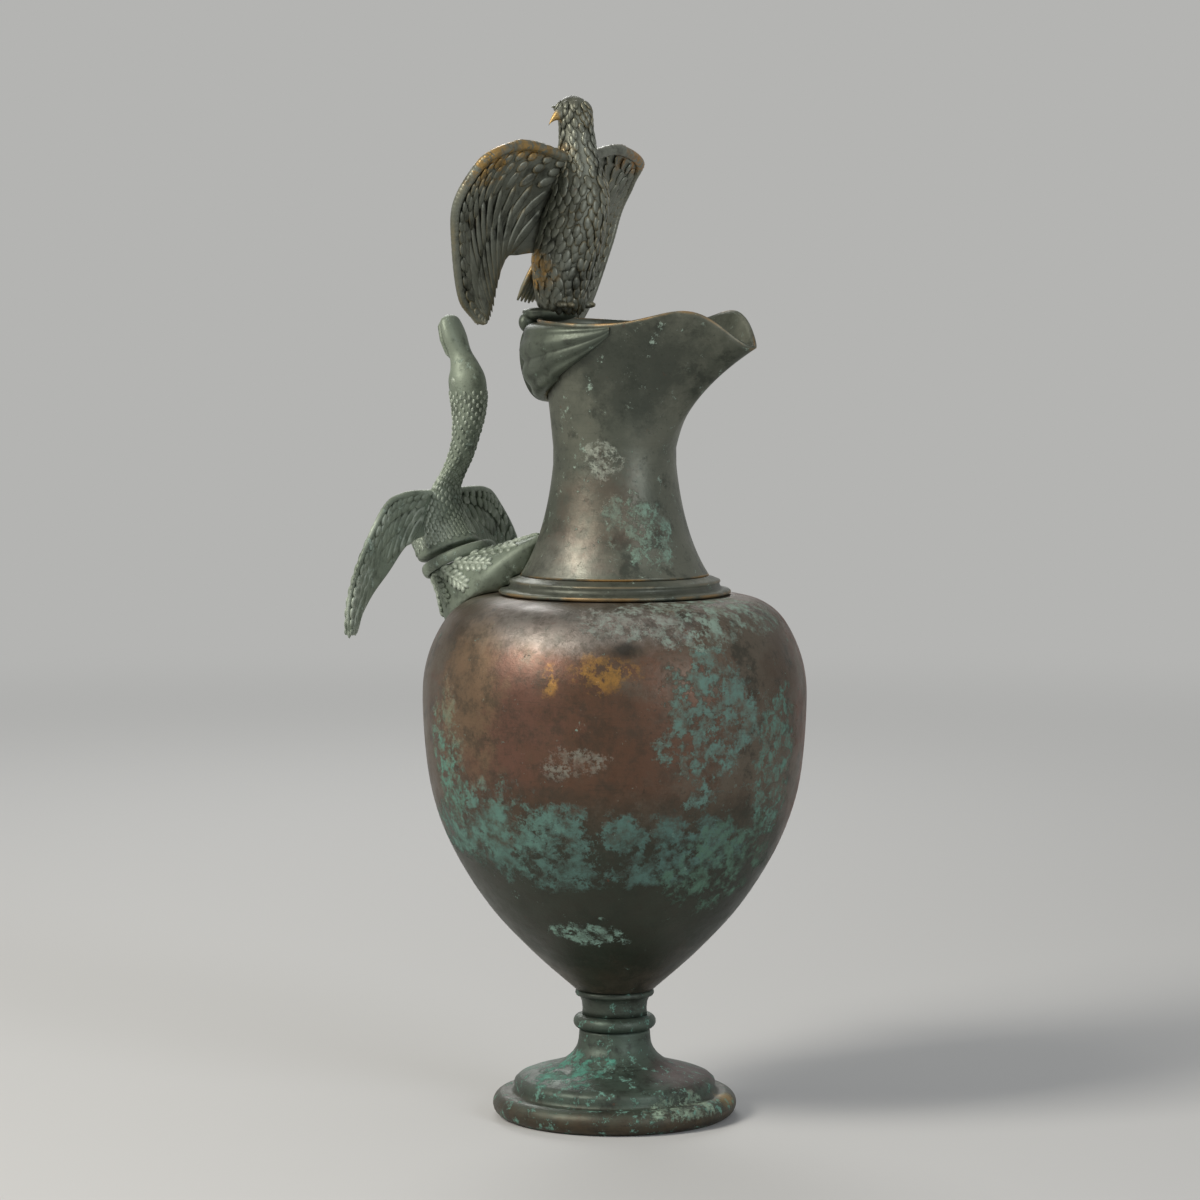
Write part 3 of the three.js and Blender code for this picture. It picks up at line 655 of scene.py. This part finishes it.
def featheredWing(wing, side, name, node, material):
    lead = [(x, side * y, z) for x, y, z in wing["lead"]]
    trail = [(x, side * y, z) for x, y, z in wing["trail"]]
    thick, camber = wing["thick"], wing["camber"]

    def plate(u, w):
        t = 0.5 - 0.5 * math.cos(math.tau * u)
        lift = math.sin(math.tau * u) * thick * (0.55 - 0.3 * t)
        return wingPoint(lead, trail, thick * 0.62, camber, w, t * 0.9, 0) + Vector((lift, 0, 0))

    bm = bmesh.new()
    shapedGrid(bm, 32, 60, plate)
    closeHoles(bm)
    for face in (1, -1):
        for start, reach, count, length, width in wing["tiers"]:
            for k in range(count):
                w = wing["from"] + (0.97 - wing["from"]) * (k + 0.5) / count
                here = wingPoint(lead, trail, thick, camber, w, start, face)
                ahead = wingPoint(lead, trail, thick, camber, min(w + reach * wing["sweep"], 1),
                                  min(start + reach, 0.94), face)
                way = ahead - here
                if way.length >= 1:
                    size = min(length * (1 - 0.25 * abs(w - 0.5)), way.length * 1.05)
                    leaf(here + Vector((face * 0.1, 0, 0)), way, Vector((face, 0, 0)), size, width,
                         wing["relief"])
    # rolled leading edge, thinner towards the tip
    for k in range(wing["rollSteps"]):
        w = k / wing["rollSteps"]
        here, ahead = Vector(along(lead, w)), Vector(along(lead, min(w + 1.6 / wing["rollSteps"], 1)))
        if (ahead - here).length > 0.3:
            roll = wing["roll"] * (1 - 0.5 * w)
            leaf(here + Vector((0, side * -0.2, -0.6)), ahead - here, Vector((1, 0, 0)),
                 (ahead - here).length * min(2.8, 1 + 12 * (1 - w)), roll, roll)
    finishPiece(bm, name, node, material)


eagleWing = {"lead": [(-23, -6, 479.9), (-25, -40, 485.4), (-28, -67, 480.4), (-36, -73.5, 469.9),
                      (-44, -74.5, 455.9), (-47.5, -71, 438.9), (-51, -61, 413.9), (-50.5, -50, 401.9),
                      (-49, -43.5, 398.9)],
             "trail": [(-36, -6, 427.9), (-42, -18, 425.9), (-44, -24.5, 425.9), (-46, -29, 415.9),
                       (-48, -34, 405.9), (-48.5, -40, 399.9)],
             "thick": 4.0, "camber": 7.0, "from": 0.0, "relief": 1.3, "roll": 6.0,
             "rollSteps": 60, "sweep": 0.85,
             "tiers": [(0.46, 0.42, 15, 46, 6.4), (0.3, 0.4, 16, 30, 5.6), (0.2, 0.25, 17, 15, 5.4),
                       (0.13, 0.2, 20, 10, 5.0), (0.06, 0.16, 24, 8, 4.4)]}
swanWing = {"lead": [(-103, -10, 311.5), (-103, -33, 311.5), (-104.5, -49, 306), (-105, -69, 283),
                     (-110.5, -72.5, 261), (-113.5, -69, 242)],
            "trail": [(-102, -10, 288), (-104.5, -27, 283), (-104, -44, 271), (-107, -57.5, 259),
                      (-112, -66.5, 242)],
            "thick": 3.4, "camber": 3.0, "from": 0.04, "relief": 1.8, "roll": 3.6,
            "rollSteps": 40, "sweep": 0.8,
            "tiers": [(0.46, 0.45, 13, 26, 5.6), (0.3, 0.35, 14, 17, 4.8), (0.14, 0.25, 16, 11, 4.4),
                      (0.05, 0.2, 18, 7, 3.8)]}
for side, word in ((1, "Right"), (-1, "Left")):
    featheredWing(eagleWing, side, "eagle%sWing" % word, "eagle_%s_wing" % word.lower(),
                  eagleBronze)
    featheredWing(swanWing, side, "swan%sWing" % word, "swan_%s_wing" % word.lower(),
                  swanBronze)
print("wings done")

# swan: sections are x, z, half width, half depth, and their lean in degrees
swan = {"scaleRows": 40, "scaleFrom": 0.12, "scaleSpan": 0.5, "breastScale": 3.9, "neckScale": 2.7,
        "eye": (-90.6, 8.3, 367.5), "eyeRadius": 1.0, "cheek": (6.4, 3.6, 1.6),
        "bill": (-97.0, 0, 378), "billSize": (22.5, 12.0, 4.6)}
swanSections = [(-99, 279.6, 3, 3, 24), (-99.5, 280.6, 15.5, 15.5, 24), (-102.8, 286, 16, 15.4, 23),
                (-105.4, 291, 16, 15.0, 22), (-107, 298, 15, 13.4, 26), (-105, 308, 12, 11.6, 38),
                (-99.5, 317.6, 9.6, 9.2, 34), (-93.8, 327, 7.6, 7.6, 22), (-89.6, 338.3, 7.0, 7.0, 10),
                (-87.6, 350, 8.0, 8.3, 0), (-87.6, 360, 9.0, 9.6, 0), (-88.6, 369, 9.1, 9.6, 6),
                (-90.2, 376, 7.3, 7.2, 15), (-92.6, 382, 6.4, 5.4, 20), (-95.7, 390, 8.0, 4.9, 20),
                (-98.2, 396, 7.6, 4.5, 20), (-99.6, 399.8, 5.4, 3.4, 20), (-100.4, 401.6, 0.01, 0.01, 20)]


def swanPoint(u, w):
    x, z, width, depth, lean = along(swanSections, w)
    turn, tilt = math.tau * u, math.radians(lean)
    across = max(depth, 0.0) * math.cos(turn)
    return Vector((x + across * math.cos(tilt), max(width, 0.0) * math.sin(turn),
                   z + across * math.sin(tilt)))


bm = bmesh.new()
shapedGrid(bm, 48, 130, swanPoint)
closeHoles(bm)
for row in range(swan["scaleRows"]):      # breast and neck are covered with small scales
    w = swan["scaleFrom"] + swan["scaleSpan"] * row / swan["scaleRows"]
    count = max(int(along(swanSections, w)[2] * 1.5), 10)
    for k in range(count):
        u = (k + 0.5 * (row % 2)) / count
        here, ahead, side = swanPoint(u, w), swanPoint(u, w - 0.02), swanPoint(u + 0.02, w)
        normal = (side - here).cross(swanPoint(u, w + 0.02) - here).normalized()
        size = swan["breastScale"] if w < 0.3 else swan["neckScale"]
        leaf(here + normal * 0.05, ahead - here + normal * 0.1, normal, size, size * 0.6, 1.0)
for side in (-1, 1):
    eye = scaled(swan["eye"], (1, side, 1))
    bmesh.ops.create_uvsphere(bm, u_segments=12, v_segments=8, radius=swan["eyeRadius"],
                              matrix=Matrix.Translation(eye))
    leaf(eye + Vector((1.2, side * 0.2, -3.4)), Vector((-0.35, 0, 1)), Vector((0, side, 0)), *swan["cheek"])
# lower half of the bill
leaf(Vector(swan["bill"]), Vector((-0.34, 0, 1)), Vector((-1, 0, -0.34)), *swan["billSize"])
finishPiece(bm, "swanBody", "swan_body", swanBronze)
print("swan done")

# calyx: the cut bell from the frame, smoothed, with leaves raised on it
calyx = {"lean": math.radians(25), "ring": Vector((-93.5, 0, 277)), "plate": Vector((-68, 0, 267)),
         "leafCount": 13, "lobes": 6, "ringOut": 18.4, "plateLong": 34, "plateWide": 23.5, "smoothing": 3,
         "longestEdge": 3.0, "midrib": (2.6, 3.4), "lobe": (3.4, 2.6), "lobeLength": 7.5}
source = [o for o in bpy.data.objects if o.type == "MESH" and o.name.startswith("handle_calyx")][0]
bm = bmesh.new()
bm.from_mesh(source.data)
bmesh.ops.transform(bm, matrix=source.matrix_world, verts=bm.verts)
bmesh.ops.scale(bm, verts=bm.verts, vec=(1000, 1000, 1000))
bmesh.ops.translate(bm, verts=bm.verts, vec=(-axisX, 0, 0))
bmesh.ops.remove_doubles(bm, verts=bm.verts, dist=0.01)
for _ in range(2):
    bmesh.ops.triangulate(bm, faces=bm.faces)
    longEdges = [e for e in bm.edges if e.calc_length() > calyx["longestEdge"]]
    bmesh.ops.subdivide_edges(bm, edges=longEdges, cuts=1, use_grid_fill=True)
bmesh.ops.triangulate(bm, faces=bm.faces)
for _ in range(calyx["smoothing"]):
    bmesh.ops.smooth_vert(bm, verts=bm.verts, factor=0.3, use_axis_x=True, use_axis_y=True, use_axis_z=True)
up = Vector((-math.sin(calyx["lean"]), 0, math.cos(calyx["lean"])))
across = Vector((math.cos(calyx["lean"]), 0, math.sin(calyx["lean"])))
sideways = Vector((0, 1, 0))
plateAcross, plateUp = Vector((0.74, 0, 0.67)), Vector((-0.67, 0, 0.74))
skinTree = BVHTree.FromBMesh(bm)
for k in range(calyx["leafCount"]):
    turn = math.tau * (k + 0.5) / calyx["leafCount"]
    rootOut = (across * math.cos(turn) + sideways * math.sin(turn)) * calyx["ringOut"]
    endOut = (plateAcross * math.cos(turn) * calyx["plateLong"]
              + sideways * math.sin(turn) * calyx["plateWide"])
    root = calyx["ring"] + rootOut - up * 3.0
    end = calyx["plate"] + endOut + plateUp * 1.2
    lobeSide = (end - root).cross((rootOut.normalized() + plateUp * 0.6).normalized()).normalized()
    for j in range(calyx["lobes"]):   # a midrib with a pair of lobes at each step, lying on the bell
        spot, facing = skinTree.find_nearest(root.lerp(end, (j + 0.1) / calyx["lobes"]))[:2]
        ahead = skinTree.find_nearest(root.lerp(end, (j + 1.4) / calyx["lobes"]))[0]
        leaf(spot, ahead - spot, facing, (ahead - spot).length * 1.25, *calyx["midrib"])
        for side in (-1, 1):
            way = (ahead - spot).normalized() + lobeSide * side * 0.8
            leaf(spot, way, facing, calyx["lobeLength"] - abs(j - 2.5) * 0.7, *calyx["lobe"])
finishPiece(bm, "handleCalyx", "handle_calyx", swanBronze)

ring = {"radius": 18.6, "thick": 1.6, "high": 3.0, "drop": 0.3}


def ringPoint(u, w):
    turn, swing = math.tau * u, math.tau * w
    out = ring["radius"] + ring["thick"] * math.cos(swing)
    return (calyx["ring"] + (across * math.cos(turn) + sideways * math.sin(turn)) * out
            + up * (ring["high"] * math.sin(swing) - ring["drop"]))


bm = bmesh.new()
shapedGrid(bm, 72, 16, ringPoint)
finishPiece(bm, "calyxRing", "calyx_ring", swanBronze)
print("calyx done")

# floor: a matt painted board that takes the backdrop's colour far from the ewer
studio = {"backdrop": "#b4b4b2", "ambient": "#d2d4d6", "ambientStrength": 0.35, "floor": "#c9c9c7",
          "floorRough": 0.85, "floorSize": 60.0, "fadeFrom": 0.5, "fadeTo": 2.6}
floorMaterial = bpy.data.materials.new("paleStudioFloor")
floorMaterial.use_nodes = True
floorTree = floorMaterial.node_tree
floorShader = floorTree.nodes["Principled BSDF"]
floorShader.inputs["Base Color"].default_value = linearColor(studio["floor"])
floorShader.inputs["Roughness"].default_value = studio["floorRough"]
floorPlace = addNode(floorTree, "ShaderNodeTexCoord").outputs["Object"]
floorAway = addNode(floorTree, "ShaderNodeVectorMath", {"operation": "LENGTH"}, links={0: floorPlace})
floorFar = addNode(floorTree, "ShaderNodeMapRange", {"interpolation_type": "SMOOTHSTEP"},
                   {"From Min": studio["fadeFrom"], "From Max": studio["fadeTo"]},
                   {"Value": floorAway.outputs["Value"]})
floorGlow = addNode(floorTree, "ShaderNodeEmission",
                    values={"Color": linearColor(studio["backdrop"]), "Strength": 1.0})
floorMix = addNode(floorTree, "ShaderNodeMixShader",
                   links={0: floorFar.outputs[0], 1: floorShader.outputs[0], 2: floorGlow.outputs[0]})
floorTree.links.new(floorMix.outputs[0], floorTree.nodes["Material Output"].inputs["Surface"])
bm = bmesh.new()
bmesh.ops.create_grid(bm, x_segments=1, y_segments=1, size=studio["floorSize"])
floorMesh = bpy.data.meshes.new("floor")
bm.to_mesh(floorMesh)
bm.free()
floorMesh.materials.append(floorMaterial)
floor = bpy.data.objects.new("floor", floorMesh)
bpy.context.scene.collection.objects.link(floor)

# backdrop: one pale grey for the camera and for shine, a dimmer one as fill light
world = bpy.data.worlds.new("studio")
bpy.context.scene.world = world
world.use_nodes = True
tree = world.node_tree
tree.nodes.clear()
rays = addNode(tree, "ShaderNodeLightPath")
seen = addNode(tree, "ShaderNodeMath", {"operation": "MAXIMUM"},
               links={0: rays.outputs["Is Camera Ray"], 1: rays.outputs["Is Glossy Ray"]})
ambient = addNode(tree, "ShaderNodeBackground",
                  values={"Color": linearColor(studio["ambient"]), "Strength": studio["ambientStrength"]})
backdrop = addNode(tree, "ShaderNodeBackground",
                   values={"Color": linearColor(studio["backdrop"]), "Strength": 1.0})
both = addNode(tree, "ShaderNodeMixShader",
               links={0: seen.outputs[0], 1: ambient.outputs[0], 2: backdrop.outputs[0]})
addNode(tree, "ShaderNodeOutputWorld", links={"Surface": both.outputs[0]})

lamps = {
    "keyLamp": {"place": (-0.75, -1.5, 1.55), "target": (0, 0, 0.25), "size": (0.7, 0.9), "watts": 38,
                "tint": "#fffaf2"},
    "fillLamp": {"place": (1.9, -0.6, 0.8), "target": (0, 0, 0.25), "size": (0.5, 1.2), "watts": 12,
                 "tint": "#f2f6ff"},
    "backLamp": {"place": (-1.1, 1.3, 1.2), "target": (0, 0, 0.3), "size": (0.8, 0.8), "watts": 10,
                 "tint": "#ffffff"},
}
for name, look in lamps.items():
    data = bpy.data.lights.new(name, "AREA")
    data.shape = "RECTANGLE"
    data.size, data.size_y = look["size"]
    data.energy = look["watts"]
    data.color = linearColor(look["tint"])[:3]
    lamp = bpy.data.objects.new(name, data)
    lamp.location = look["place"]
    aim = Vector(look["target"]) - Vector(look["place"])
    lamp.rotation_euler = aim.to_track_quat("-Z", "Y").to_euler()
    bpy.context.scene.collection.objects.link(lamp)

# camera where the photograph was taken from
back = Vector((math.sin(photo["turn"]), -math.cos(photo["turn"]), 0))
right = Vector((math.cos(photo["turn"]), math.sin(photo["turn"]), 0))
distance = photo["distance"] / 1000
cameraData = bpy.data.cameras.new("camera")
cameraData.sensor_width = photo["sensor"]
cameraData.lens = photo["focalPx"] / photo["widthPx"] * photo["sensor"]
camera = bpy.data.objects.new("camera", cameraData)
camera.location = (back * distance * math.cos(photo["dip"])
                   - right * photo["shiftPx"] / photo["focalPx"] * distance
                   + Vector((axisX, 0, photo["eyeHeight"])) / 1000)
ahead = -back * math.cos(photo["dip"]) - Vector((0, 0, math.sin(photo["dip"])))
camera.rotation_euler = ahead.to_track_quat("-Z", "Y").to_euler()
bpy.context.scene.collection.objects.link(camera)
bpy.context.scene.camera = camera
bpy.context.scene.view_settings.view_transform = "Standard"
print("studio ready")
